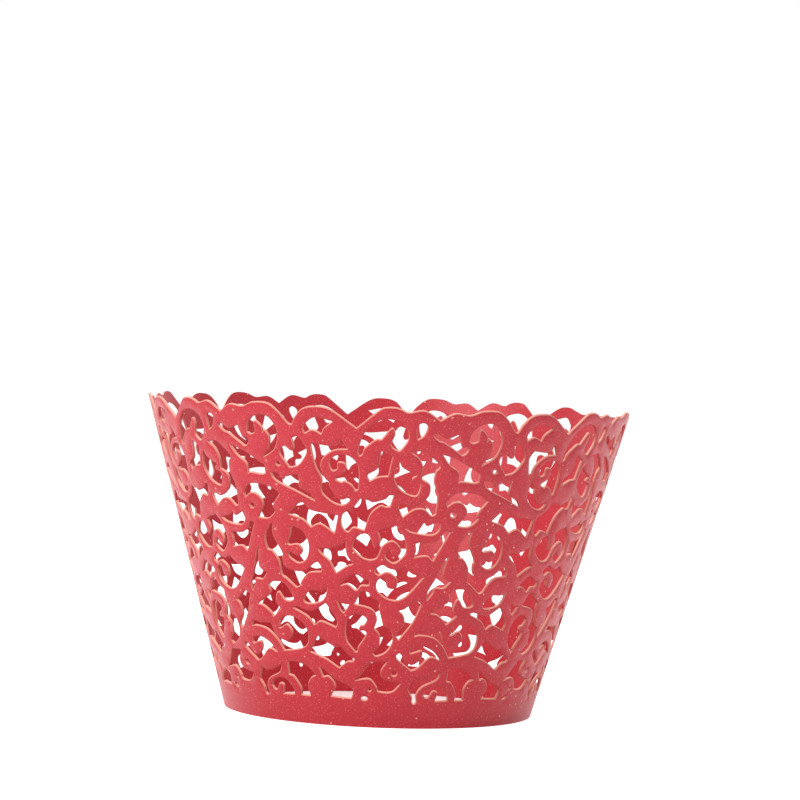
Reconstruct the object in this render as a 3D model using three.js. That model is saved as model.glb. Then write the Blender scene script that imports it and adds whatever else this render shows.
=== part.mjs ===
// Cupcake wrapper: one band of pearl card, laser-cut with a scroll filigree and a scalloped rim, rolled into
// an open cone and lapped on itself at one side. Millimetres, +Z up. The origin is the middle of the foot
// circle, on the table, and the front of the wrapper faces -Y. Angles run round from the front towards +X.

import * as THREE from 'three';

// Driving dimensions, in millimetres and degrees.
const RIM_DIAMETER = 80;
const FOOT_DIAMETER = 50.8;
const HEIGHT = 51.2;
const CARD_THICKNESS = 0.4;
const REPEATS_ON_BLANK = 7;
const LAP_ANGLE = 18;
const LAP_MIDDLE = 112;
const LAP_CLEARANCE = 0.12;
const LAP_TOP_DROP = 1.4;
const CUT_MARGIN = 1.2;
const FOOT_MARGIN = 0.3;

// How finely the cut edges and the roll are faceted.
const CHORD_ERROR = 0.3;
const EDGE_STEPS = 5;
const FOOT_STEP_ANGLE = 6;

// Lower than this up the card, in millimetres, a point lies on the foot's edge.
const FOOT_TOLERANCE = 1e-4;

// A difference smaller than this, in millimetres or radians, is only rounding.
const ROUNDING = 1e-6;

const CARD_COLOUR = '#c6303f';

// The ornament is drawn on one repeat, as degrees round the wrapper from its front and millimetres up.
const DRAWN_REPEAT = 54;
const DRAWN_HEIGHT = 52.9;

// Knots are "degrees millimetres". Each line of the ornament runs smoothly through them, and ^ marks a sharp
// corner. The rim's knots run from one repeat to the next.
const RIM_KNOTS = `
  -52 52.9, -50.6 52.6, -49.2 52.2, -45.6 52.6, ^-41.9 51.1, -38.8 52.3, -35.1 52.1, -32.2 52.8,
  -28.3 52.8, -25.7 51.6, -22.8 49.5, -21.4 50.8, -19.6 52.1, -16.8 52.6, -12.9 52.2, ^-6.9 49.4,
  -1.8 52.4, 0 52.9
`;

const OPENINGS = {
  lobeCurl: `
    ^-6.2 44.9, -6.4 45.9, -5.2 48.4, -2.8 50.3, 0.5 51, 3.9 50.2, 5.1 48.2, 3.8 46.4, 2.7 46, 1.2
    46.9, 2 48.7, 1.1 49.6, ^-1.1 47.7, -2.5 47.6, -5 46.2, -5.6 45.2
  `,
  rimTear: '^-46.8 47.9, -47.1 49.8, -46.3 50.5, -45.3 50.5, -44.7 49.9, -45.5 48.5',
  wedge: `
    -43.1 48.6, -42.3 49, -40 48.2, ^-37.3 48.9, -36.1 46.9, -35.1 47, -34.5 46.6, -34.8 46, -35.8
    45.6, -37 46.1, -40.3 47.5, -41.7 47.8
  `,
  rimCurl: `
    ^-34.5 47.9, -33.9 49.4, -31.9 50.6, -28.5 50.6, -26.3 48.3, -27.3 45.5, ^-30.7 43.9, -30 44.6,
    -28.9 45.4, -28.4 47.2, -29.6 48.4, ^-30.2 47.9, -30.2 48.8, -31.7 49.8, -32.4 49.4, ^-32.4
    47.9, -33.5 47.6
  `,
  lobeBow: `
    ^-19.3 48.2, -19.6 48.9, -19 49.7, -16.6 50.8, ^-12.4 50.3, -14.5 49.2, ^-15.2 48.2, -17.3 48.8
  `,
  bell: `
    ^-17.7 46.6, -17.8 45.8, -16.9 43, -15.5 41, -15.7 39.1, -15 38.2, -12.7 37.1, -10.2 36.8, -8.6
    37.6, -9.2 37.9, -10.4 37.6, -11.9 37.9, -13.6 39.6, -13.8 40.4, -14.8 41.1, -15.8 43, -14.7
    44.6, -12.1 45.7, ^-9.1 45.9, ^-10.5 47.5, -11.8 46.3
  `,
  spiral: `
    -12 41, -9.8 42, -9.6 43.5, -11.4 43.7, -11.7 42.6, -12.9 42.4, -13.4 43.7, -11.7 44.8, -8.7
    44.8, -6.5 43.1, -6.5 39.8, ^-7.1 39.2, -8 40.1, -9.8 40.7, -10.7 40.5
  `,
  boot: '^-1 45.8, -1.7 43.1, -4.1 41.9, ^-3.7 40.9, -1.6 41.6, ^0.7 41.8, ^1.6 45',
  heart: `
    ^-23.7 42.5, -26 44.7, -24.8 45.9, -23 45.2, -22.1 45.7, ^-22.6 47.3, -20.9 47.5, -19.2 45.8,
    -19.3 44.7, -21.3 43
  `,
  leaf: `
    ^-40.5 45.6, -36.4 44.7, ^-30.7 42.6, ^-30.7 41.3, -31.8 41.1, -34.9 41.3, ^-35.8 41.1, -36.1
    42.8, -38.6 44
  `,
  longS: `
    ^-48.1 45.8, -45.2 46, -42.9 45, -41.1 43.9, -41.1 43.3, -41.8 42.8, -42 41.1, -40.8 38.9,
    ^-40.8 35.8, -41.8 35.6, -43.8 36.6, -46.4 36.5, ^-49.1 35.2, -50.1 36.5, ^-50.2 37.2, -48.9
    37.2, -47.1 36.9, -44.8 37.5, -42.9 38.8, -42.9 40.6, ^-45 41.5, -44.9 43.3, -46.1 44.9
  `,
  drift: `
    ^-29.1 41.4, -27.1 41.4, -26.5 40.7, ^-25.7 40.4, -25 40.9, ^-21.7 41.4, -21.5 40.8, -21.5 39.2,
    -18.9 38.3, ^-17.4 37.2, -22.5 38.7, -27.8 40.2
  `,
  oval: `
    ^-50.6 44.1, -51.4 43.2, -51.6 41.3, -49.9 39.6, -46.8 38.7, -45.6 39.2, -45.4 40.8, -47.1 41.1,
    -47.3 41.6, ^-46.3 42.1, -49.7 43.2
  `,
  cloak: `
    ^-5.9 37.9, -7.7 36.4, -10.4 35.2, -10.7 33.4, -9.2 32.4, -7.7 33.2, ^-4.9 32.8, -3.4 35.5, -1
    36.9, 0.3 36.8, ^1.5 36.8, ^2.3 38.7, 1.2 38.6, 0.3 38, -2.6 37.4, -4 37.7
  `,
  smile: `
    ^-48.1 33.3, -46.8 33.6, -45.2 33.7, ^-43.4 34.3, -42.5 33.8, -39.8 34.5, -39.3 33.3, -41.2
    32.4, -46.2 32.7
  `,
  hound: `
    ^-37.6 33.1, ^-36.3 32.9, ^-40.1 28.1, -41.9 28.9, ^-45.4 28.6, -44.9 29.6, ^-45.2 30.8, -43.8
    31.1, -42.1 31, -39 31.7
  `,
  crescent: `
    ^-37.9 37.1, -38 38, -35.5 39.4, -30.4 39.2, ^-27.2 38.1, -29.2 36.4, -29.5 35.6, -29.2 35,
    -31.4 33.9, ^-34.5 33.9, -32.4 36.1, -33.8 37.6, -36 37.9
  `,
  bat: `
    ^-25.1 34.8, -21.4 36.8, -18.8 35.6, ^-11.7 35, ^-12.7 32.1, -16.4 33.5, ^-19.1 32.9, -21.3 34.1
  `,
  five: `
    ^-24.4 32.9, -21.5 32, -20.1 29.9, -20.9 27.7, -23.3 26.8, -25.7 27.5, -26.2 28.1, -25.6 28.4,
    -23.2 27.9, -21.9 28.9, -23.2 29.9, -25.6 29.7, -26.2 30, -25.4 30.9
  `,
  swan: `
    ^-30.3 33, -30.6 31, -28.3 28.3, -28.5 27.4, -27.3 25.7, -22.1 25.4, -18.9 26.8, ^-17.7 27.1,
    -16.9 26.3, ^-16.8 25.6, -20.5 25.3, -22.8 24, -23.7 23, ^-24.8 22.7, -27.7 24.1, -29 24.7,
    -29.5 26.9, -31.4 28.5, -32.8 28.8, -33.1 30.7, -31.4 32.5
  `,
  kite: `
    ^-35.9 28.9, -36.8 25.8, ^-34.3 24.6, -36.1 23.6, -38.6 23.6, -39.2 22.6, ^-40.5 21.5, -40.4 23,
    -38.4 25.4, -36.8 28
  `,
  bowl: `
    ^-42.2 25.3, -45.4 25.8, ^-47.7 26.9, -49.8 26.4, -52 26.6, -53.8 27.1, ^-55.8 26.3, -55.6 25.8,
    ^-54.7 25.4, -52.3 26, -49.6 25, -49.5 23.6, -50.4 23.2, -52.3 23.5, -53 24.9, -54.9 24.5, -54.9
    22.8, -51.1 21.4, -47.1 21.9
  `,
  bat2: `
    ^-11.7 23.4, -7.7 25.4, -4.7 24.6, -3.5 24.5, -3.5 23.7, -5.6 23.6, -7 22.8, -9.4 23.7
  `,
  arrow: `
    -17 29.4, -14.1 29.4, -10.9 30.2, ^-9.8 30.8, -9.6 28.7, ^-7.8 27.1, -9.6 26.7, ^-12.6 25.5,
    -14.2 27.4, -16.7 28.7
  `,
  pebble: `
    -6.1 31.9, -7.8 30.3, -7.4 29.4, -4.7 28.1, -1.6 28.2, 0 30.3, 2.7 31.2, 5 29.9, 4.4 28.7, 2.8
    28.9, ^2 29.8, 0.9 28.6, 2.8 27.6, 4.4 27.9, 6.3 29.4, 5.6 31.8, ^3.3 33.7, 2.1 33.3, 1 33.3,
    ^-1.2 32.6, -0.4 31.1, ^-2.1 29.8, -3.8 32
  `,
  feather: `
    ^-48.4 19.6, -46.8 19.9, -44.4 21, -43 21.2, ^-42 20.8, -44.1 17.8, ^-48 14.7, -48.6 15.6, -46.5
    17.2, -46.9 18.8
  `,
  anvil: `
    ^-39.2 19.3, -33.9 21.2, ^-34.1 22.7, -32.2 23.3, -28.7 23.1, -26.3 21.1, -26.6 20.4, -28.9
    20.4, -30.6 21.6, -31.6 21.5, -32.3 20.2, -31.9 19.4, ^-30.7 18.9, ^-33.8 17.4, -34.5 18.1, -37
    19.1
  `,
  river: `
    ^-43.1 15.4, ^-42.9 16.1, -41.3 16.3, -39.2 16.1, ^-35.2 16.2, -33.7 14.2, -30.4 13.4, -28.9
    13.7, -27.5 15.1, -29.2 16.3, -31.3 15.7, ^-32.1 15.6, -31.1 17.1, -27.7 17.7, -23.8 16.7, -22.2
    14.7, -23.8 12.7, ^-31.2 11.8, -33.5 13.7, -37 15.2, -41.3 15.6
  `,
  bird: `
    -47.2 12.4, -45.2 11.1, -42.9 10.5, -40.3 11.6, -40.3 13, -43.6 12.5, ^-44.1 12.8, -43.3 13.4,
    -40.3 13.7, -36.8 12.9, ^-34 11.4, -37.4 11.9, -41.1 10.1, ^-43.1 9.6, -48 11.6
  `,
  basin: `
    ^-7.5 7.6, -5.9 8.1, ^-2 10.8, ^2.8 10.9, 1 9.3, 2.2 7.9, ^7.7 7.3, 5 5.9, 0.7 5.9, -0.1 6.7,
    -2.6 8
  `,
  thorn: `
    ^-41.8 8.6, -40.2 8.1, -36.8 8.3, -33.5 9.2, -34.4 8, -38.8 6.9, -40.7 5.5, -40.3 4.3, -41 3.9,
    -41.8 4.2, -42 5.1, ^-43.6 6.4
  `,
  arch: `
    ^-38.2 5.6, -37.5 6.3, -35 7, -31.8 6.8, -29.6 5.5, ^-29.2 4.5, ^-33.7 4.4, -33.2 5.9, -35 6.1,
    -36.2 5.1, -37.3 5
  `,
  mushroom: `
    ^-30.5 9.8, -28.3 10, -23.8 9.5, ^-20.6 8, -22.4 7.6, -23.7 6.3, ^-23.1 4.5, ^-26.4 4.5, -26.3
    5.7, -28.7 7.5, ^-30.5 7.8
  `,
  cap: `
    ^-19.1 9.4, -17.6 9.1, -13.7 7.5, -8.8 6.4, -8 5.5, ^-8.6 4.5, ^-15.6 4.7, -13.8 6.5, -16 8,
    ^-18 7.9
  `,
  bat3: `
    ^-21.9 12, ^-18.9 14.9, -18 14.3, -15.1 13.4, -13.1 12.9, ^-11.9 13.3, -9.4 11.8, ^-7.5 11.2,
    -8.1 10.8, -9.8 10.7, ^-12.5 9.6, -16.8 11
  `,
  wing: `
    ^-26.5 19.2, -25 19.4, -20.6 18.8, ^-16 20.3, -12.8 17.7, ^-13.1 16.4, -17.6 17.3, ^-19.9 16.6,
    -22.1 18
  `,
  moon: '-22.7 20.7, -20.6 22.2, -17 22.3, ^-15.3 22.8, -16.2 21.3, -17.8 20.5, -21.3 20.1',
  notch: '^-12.4 20.8, -10.9 20.4, ^-9 20.3, ^-10.7 18.9, -11.6 19.5',
  sickle: `
    ^-7.6 20.5, -6.9 20.9, ^-5.8 22.4, -4.3 22.6, ^-3.3 22.4, -2.7 21.7, -0.3 20.9, -0.3 19.9, ^1
    17.2, 1.9 16.7, 3.5 16.3, 4.2 14.5, 2.5 12.7, -0.5 11.9, ^-1.6 12.3, 0.3 13.7, 0.2 15.5, ^-1.4
    16.5, -0.7 18.2, -2.5 19.8
  `,
  eight: `
    ^-7 12.4, -9.9 14.5, -9.6 17.6, -6.7 18.8, -3.9 18.1, -4.5 17.1, -5.6 16.9, -6.1 16.4, -5.6 16,
    -4.5 16, -3.9 15.4, -6.3 13.3, -6.5 12.7
  `,
};

// The blank is a fan cut from flat card, and rolls into the cone.
const rimRadius = RIM_DIAMETER / 2;
const footRadius = FOOT_DIAMETER / 2;
const slant = Math.hypot(rimRadius - footRadius, HEIGHT);
const sinTaper = (rimRadius - footRadius) / slant;
const cosTaper = HEIGHT / slant;
const apexToFoot = footRadius / sinTaper;

const FULL_TURN = 360;
const repeatAngle = (FULL_TURN + LAP_ANGLE) / REPEATS_ON_BLANK;
const blankEnd = LAP_MIDDLE + LAP_ANGLE / 2;
const blankStart = blankEnd - LAP_ANGLE - FULL_TURN;
const blankMiddle = (blankStart + blankEnd) / 2;
const cutStart = blankStart + LAP_ANGLE;
const cutEnd = blankEnd - LAP_ANGLE;
const lapTop = slant - LAP_TOP_DROP;

// The radius grows by one card and the glue line in a full turn, so the ends lie one over the other.
const lapRise = (CARD_THICKNESS + LAP_CLEARANCE) / cosTaper;

function onBlank(angle, up) {
  const fan = THREE.MathUtils.degToRad(angle) * sinTaper;
  const reach = apexToFoot + up;
  return new THREE.Vector2(reach * Math.sin(fan), reach * Math.cos(fan));
}

function fromBlank(point) {
  const fan = Math.atan2(point.x, point.y);
  return { angle: THREE.MathUtils.radToDeg(fan / sinTaper), up: point.length() - apexToFoot };
}

function roll({ angle, up }, depth) {
  const turn = THREE.MathUtils.degToRad(angle);
  const onFoot = up < FOOT_TOLERANCE;
  const climb = onFoot ? 0 : up * cosTaper + depth * sinTaper;
  const inset = onFoot ? depth / cosTaper : depth * cosTaper;
  const rise = (lapRise * (angle - blankMiddle)) / FULL_TURN;
  const radius = footRadius + up * sinTaper + rise - inset;
  return new THREE.Vector3(radius * Math.sin(turn), -radius * Math.cos(turn), climb);
}

// Reads knots into points on the blank, in the given repeat.
function readKnots(text, repeat) {
  return text.trim().split(/\s*,\s*/).map((knot) => {
    const sharp = knot.startsWith('^');
    const [across, up] = knot.replace('^', '').trim().split(/\s+/).map(Number);
    const angle = (across * repeatAngle) / DRAWN_REPEAT + repeat * repeatAngle;
    const height = ((up + FOOT_MARGIN) * slant) / (DRAWN_HEIGHT + FOOT_MARGIN);
    return { angle, sharp, point: onBlank(angle, height) };
  });
}

// The tangent at a knot, seen from the edge that runs to or from it.
function tangentAt(knots, index, from, to) {
  const along = to.point.clone().sub(from.point);
  if (knots[index].sharp) return along;
  const before = knots.at(index - 1).point;
  const after = knots[(index + 1) % knots.length].point;
  return after.clone().sub(before).multiplyScalar(0.5);
}

function smoothEdge(knots, index) {
  const next = (index + 1) % knots.length;
  const from = knots[index];
  const to = knots[next];
  const leaving = tangentAt(knots, index, from, to);
  const arriving = tangentAt(knots, next, from, to);
  return new THREE.CubicBezierCurve(
    from.point,
    from.point.clone().addScaledVector(leaving, 1 / 3),
    to.point.clone().addScaledVector(arriving, -1 / 3),
    to.point,
  ).getPoints(EDGE_STEPS).slice(0, -1);
}

// Keeps only the points that hold the line within the chord error.
function thinLine(points) {
  const first = points[0];
  const last = points.at(-1);
  const chord = last.clone().sub(first);
  const length = Math.max(chord.length(), ROUNDING);
  let widest = 0;
  let split = 0;
  points.slice(1, -1).forEach((point, index) => {
    const away = Math.abs(chord.cross(point.clone().sub(first))) / length;
    if (away > widest) {
      widest = away;
      split = index + 1;
    }
  });
  if (widest <= CHORD_ERROR) return [first];
  return [...thinLine(points.slice(0, split + 1)), ...thinLine(points.slice(split))];
}

function farthestFrom(points, start) {
  const distances = points.map((point) => point.distanceTo(start));
  return distances.indexOf(Math.max(...distances));
}

function openingOutline(knots) {
  const ring = knots.flatMap((knot, index) => smoothEdge(knots, index));
  const half = farthestFrom(ring, ring[0]);
  return [...thinLine(ring.slice(0, half + 1)), ...thinLine([...ring.slice(half), ring[0]])];
}

// An opening is cut only where it clears the plain strips at both ends of the blank.
function clearsTheEnds(knots) {
  return knots.every(({ angle, point }) => {
    const nearer = Math.min(angle - cutStart, cutEnd - angle);
    return THREE.MathUtils.degToRad(nearer) * point.length() * sinTaper > CUT_MARGIN;
  });
}

// Repeats are laid past both ends of the blank too, and what doesn't clear the ends is left out.
const SPARE_REPEATS = 3;
const firstRepeat = Math.floor(blankStart / repeatAngle) - 1;
const repeatCount = REPEATS_ON_BLANK + SPARE_REPEATS;
const repeats = Array.from({ length: repeatCount }, (_, index) => firstRepeat + index);

function cutOpenings() {
  const drawn = repeats.flatMap((repeat) => (
    Object.values(OPENINGS).map((text) => readKnots(text, repeat))
  ));
  return drawn.filter(clearsTheEnds).map(openingOutline);
}

// The scalloped rim, from the right end of the cut zone to its left end.
function rimLine() {
  const knots = repeats.flatMap((repeat) => readKnots(RIM_KNOTS, repeat));
  const inside = knots.filter(({ angle }) => (
    Math.min(angle - cutStart, cutEnd - angle) > FOOT_STEP_ANGLE / 2
  ));
  const left = { angle: cutStart, sharp: true, point: onBlank(cutStart, lapTop) };
  const right = { angle: cutEnd, sharp: true, point: onBlank(cutEnd, lapTop) };
  const line = [left, ...inside, right];
  const fine = line.slice(0, -1).flatMap((knot, index) => smoothEdge(line, index));
  return [...thinLine([...fine, right.point]), right.point].reverse();
}

// Angles of the foot's corners over a stretch, both ends included.
function footAngles(start, end) {
  const steps = Math.round((end - start) / FOOT_STEP_ANGLE);
  return Array.from({ length: steps + 1 }, (_, index) => start + ((end - start) * index) / steps);
}

// Swaps the diagonal of two triangles wherever that makes them less slender.
function evenOut(points, faces) {
  const turnAt = (corner, one, other) => {
    const first = points[one].clone().sub(points[corner]);
    const second = points[other].clone().sub(points[corner]);
    return Math.abs(Math.atan2(first.cross(second), first.dot(second)));
  };
  let swapped = true;
  while (swapped) {
    swapped = false;
    const owners = edgeOwners(faces);
    const touched = new Set();
    for (const { face, from, to, far } of owners.values()) {
      const across = owners.get(`${to} ${from}`);
      if (!across || touched.has(face) || touched.has(across.face)) continue;
      if (turnAt(far, from, to) + turnAt(across.far, from, to) <= Math.PI + ROUNDING) continue;
      faces[face] = [from, across.far, far];
      faces[across.face] = [across.far, to, far];
      touched.add(face).add(across.face);
      swapped = true;
    }
  }
}

function edgeOwners(faces) {
  const owners = new Map();
  faces.forEach(([a, b, c], face) => {
    owners.set(`${a} ${b}`, { face, from: a, to: b, far: c });
    owners.set(`${b} ${c}`, { face, from: b, to: c, far: a });
    owners.set(`${c} ${a}`, { face, from: c, to: a, far: b });
  });
  return owners;
}

// The cut zone of the blank, with its openings, as points and triangles.
function cutZone() {
  const foot = footAngles(cutStart, cutEnd).map((angle) => onBlank(angle, 0));
  const contour = [...foot, ...rimLine()];
  const holes = cutOpenings();
  if (THREE.ShapeUtils.isClockWise(contour)) contour.reverse();
  holes.forEach((hole) => {
    if (!THREE.ShapeUtils.isClockWise(hole)) hole.reverse();
  });
  const points = [...contour, ...holes.flat()];
  const faces = THREE.ShapeUtils.triangulateShape(contour, holes);
  evenOut(points, faces);
  return { points, faces };
}

// Adds one plain end strip, sharing the cut zone's edge.
function addEndStrip(points, faces, start, end) {
  const indexOf = (point) => {
    const found = points.findIndex((other) => other.distanceTo(point) < ROUNDING);
    return found < 0 ? points.push(point) - 1 : found;
  };
  const foot = footAngles(start, end).map((angle) => indexOf(onBlank(angle, 0)));
  const top = footAngles(start, end).map((angle) => indexOf(onBlank(angle, lapTop)));
  for (let step = 0; step + 1 < foot.length; step += 1) {
    faces.push([foot[step], top[step + 1], top[step]]);
    faces.push([foot[step], foot[step + 1], top[step + 1]]);
  }
}

// Rolls the flat blank and gives it the card's thickness.
function cardSolid() {
  const { points, faces } = cutZone();
  addEndStrip(points, faces, blankStart, cutStart);
  addEndStrip(points, faces, cutEnd, blankEnd);
  const outward = faces.map((face) => facingOut(points, face));
  const places = points.map(fromBlank);
  const outer = places.map((place) => roll(place, 0));
  const inner = places.map((place) => roll(place, CARD_THICKNESS));
  const count = points.length;
  const triangles = outward.flatMap(([a, b, c]) => [[a, b, c], [c + count, b + count, a + count]]);
  const owners = edgeOwners(outward);
  for (const { from, to } of owners.values()) {
    if (owners.has(`${to} ${from}`)) continue;
    triangles.push([to, from, from + count], [to, from + count, to + count]);
  }
  const geometry = new THREE.BufferGeometry().setFromPoints([...outer, ...inner]);
  geometry.setIndex(triangles.flat());
  geometry.computeVertexNormals();
  return geometry;
}

// Turns a triangle of the blank so that its front becomes the outside of the cone.
function facingOut(points, [a, b, c]) {
  const first = points[b].clone().sub(points[a]);
  const second = points[c].clone().sub(points[a]);
  return first.cross(second) > 0 ? [a, b, c] : [a, c, b];
}

const cardMaterial = new THREE.MeshStandardMaterial({
  color: CARD_COLOUR,
  roughness: 0.42,
  metalness: 0.15,
  flatShading: true,
});

function makeWrapper() {
  const wrapper = new THREE.Mesh(cardSolid(), cardMaterial);
  wrapper.name = 'wrapper';
  return wrapper;
}

const cupcakeWrapper = new THREE.Group();
cupcakeWrapper.add(makeWrapper());

export default cupcakeWrapper;
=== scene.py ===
"""A laser-cut cupcake wrapper in pearlescent red card, on a plain white floor."""

import math
from functools import partial

import bpy
from mathutils import Matrix, Vector
from mathutils.geometry import delaunay_2d_cdt


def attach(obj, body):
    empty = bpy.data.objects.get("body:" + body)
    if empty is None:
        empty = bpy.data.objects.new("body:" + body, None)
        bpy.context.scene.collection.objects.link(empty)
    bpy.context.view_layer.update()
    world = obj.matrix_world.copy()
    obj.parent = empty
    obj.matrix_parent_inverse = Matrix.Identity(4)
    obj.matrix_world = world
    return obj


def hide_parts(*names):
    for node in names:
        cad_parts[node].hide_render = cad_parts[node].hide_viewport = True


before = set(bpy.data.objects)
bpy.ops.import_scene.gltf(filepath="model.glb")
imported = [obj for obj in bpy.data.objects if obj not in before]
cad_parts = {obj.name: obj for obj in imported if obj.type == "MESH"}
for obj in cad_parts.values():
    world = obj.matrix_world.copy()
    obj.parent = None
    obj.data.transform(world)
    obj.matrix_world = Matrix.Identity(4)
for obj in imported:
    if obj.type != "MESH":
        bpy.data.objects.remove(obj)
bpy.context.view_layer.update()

# The wrapper's real sizes, in metres and degrees.
RIM_RADIUS = 0.040
FOOT_RADIUS = 0.0254
HEIGHT = 0.0512
CARD_THICKNESS = 0.0004
REPEATS_ON_BLANK = 7
LAP_ANGLE = 18.0
LAP_MIDDLE = 112.0
LAP_CLEARANCE = 0.00012
LAP_TOP_DROP = 0.0014
CUT_MARGIN = 0.0012
FOOT_MARGIN = 0.0003

# Lower than this up the card, in metres, a point lies on the foot's edge.
FOOT_TOLERANCE = 1e-7

# How finely the piece is made. The grid's points fill the card between the openings, row by row. Higher up
# than the rim zone's share of the card, they also have to lie below the scallops.
EDGE_STEPS = 6
GRID_STEP = 0.0016
GRID_CLEARANCE = 0.0005
GRID_ROW_STARTS = (0.5, 1.0)
GRID_END_GAP = 0.4
RIM_ZONE = 0.85
STRIP_STEP_ANGLE = 1.5
RIM_END_ANGLE = 3.0
SHARP_ANGLE = 40.0
CUT_TOLERANCE = 1e-6
LEAST_SQUARED_LENGTH = 1e-18
KEY_DIGITS = 6

# The shoulder is the low band along each cut edge, in the cut edge's colours, with painted light where it
# faces up and painted shade where it faces down. It is eased to a lesser width where an outline leaves it
# less room than a share of its width, or would squeeze its far side to less than a share of its near side.
# The edges right beside a corner don't count as leaving less room.
SHOULDER_WIDTH = 0.00015
SHOULDER_DEPTH = 0.00012
SHOULDER_LEAST = 0.00001
SHOULDER_ROOM = 0.75
SHOULDER_SKIP = 1
SHOULDER_TRIES = 12
SHOULDER_SQUEEZE = 0.15
SHOULDER_EASE = 0.7

# Colours are linear. Sizes and spacings of the card's grain and flakes are in metres. A flake's share is how
# many cells hold one, and its radius is a part of a cell.
RED_DEEP = (0.46, 0.015, 0.027, 1.0)
RED_LIGHT = (0.57, 0.024, 0.040, 1.0)
RED_GRAIN = (0.64, 0.058, 0.076, 1.0)
# Painted glints: the next two colours paint the mica flakes bright whatever the light.
FLAKE_PINK_GLINT = (0.74, 0.15, 0.16, 1.0)
FLAKE_GOLD_GLINT = (1.0, 0.55, 0.42, 1.0)
EDGE_PALE = (0.92, 0.44, 0.34, 1.0)
EDGE_WARM = (0.78, 0.28, 0.21, 1.0)
# Painted shade: the next colour is the dark red given to cut edges that face down.
EDGE_PAINTED_SHADE = (0.42, 0.035, 0.035, 1.0)
SHEEN_TINT = (1.0, 0.72, 0.76, 1.0)
CLOUD_SIZE = 0.009
CLOUD_DETAIL = 3.0
GRAIN_SIZE = 0.00016
GRAIN_DETAIL = 2.0
GRAIN_PALE_FROM = 0.5
GRAIN_PALE_TO = 0.8
GRAIN_BUMP = 0.22
GRAIN_HEIGHT = 0.00003
FLAKE_CORE = 0.5
FINE_FLAKE_SPACING = 0.00022
FINE_FLAKE_SHARE = 0.16
FINE_FLAKE_RADIUS = 0.42
BOLD_FLAKE_SPACING = 0.0009
BOLD_FLAKE_SHARE = 0.22
BOLD_FLAKE_RADIUS = 0.19
CLUSTER_SIZE = 0.005
CLUSTER_LEVEL = 0.5
CLUSTER_FADE = 0.06
CLUSTER_DETAIL = 1.0
CARD_ROUGHNESS = (0.34, 0.5)
CARD_METALLIC = 0.05
CARD_SPECULAR = 0.35
CARD_SHEEN = 0.22
CARD_SHEEN_ROUGHNESS = 0.4
EDGE_ROUGHNESS = 0.75
SCORCH_SIZE = 0.004
SCORCH_DETAIL = 3.0
# Painted light and shade on the cut edge: as its normal's height goes from the first number to the second,
# the edge goes from painted shade to its full pale core.
PAINTED_SHADE_FACING = -0.6
LIT_CORE_FACING = 0.4

# The floor and the lights, in metres and watts. The lift is the white added to what the camera sees of it.
WHITE = (1.0, 1.0, 1.0, 1.0)
FLOOR_SIZE = 1.4
FLOOR_DROP = 0.00002
FLOOR_COLOUR = (0.9, 0.9, 0.9, 1.0)
FLOOR_ROUGHNESS = 0.9
FLOOR_LIFT = 0.8
FLOOR_LIFT_INSIDE = 0.0
AMBIENT = 0.35
KEY_PLACE = Vector((-0.45, -0.4, 0.42))
KEY_SIZE = 0.35
KEY_WATTS = 3.1
TOP_PLACE = Vector((0.05, 0.1, 0.6))
TOP_SIZE = 0.4
TOP_WATTS = 2.5
FILL_PLACE = Vector((0.5, -0.45, 0.2))
FILL_SIZE = 0.5
FILL_WATTS = 0.3

# The photograph's viewpoint, in metres, millimetres and radians.
CAMERA_PLACE = Vector((0.001837, -0.5244, 0.06235))
CAMERA_LENS = 141.73
CAMERA_SENSOR = 36.0
CAMERA_PITCH = 0.0204
CAMERA_ROLL = 0.0404
CAMERA_CLIP_START = 0.01

# The ornament is drawn on one repeat: degrees round the wrapper, then millimetres up the card.
DRAWN_REPEAT = 54.0
DRAWN_HEIGHT = 52.9
MM = 0.001
FULL_TURN = 360.0

# Knots are "degrees millimetres". Each line runs smoothly through them, and ^ marks a sharp corner. The rim's
# knots run from one repeat to the next.
RIM_KNOTS = """
    -52 52.9, -50.6 52.6, -49.2 52.2, -45.6 52.6, ^-41.9 51.1, -38.8 52.3, -35.1 52.1, -32.2 52.8,
    -28.3 52.8, -25.7 51.6, -22.8 49.5, -21.4 50.8, -19.6 52.1, -16.8 52.6, -12.9 52.2, ^-6.9 49.4,
    -1.8 52.4, 0 52.9
"""

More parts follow.
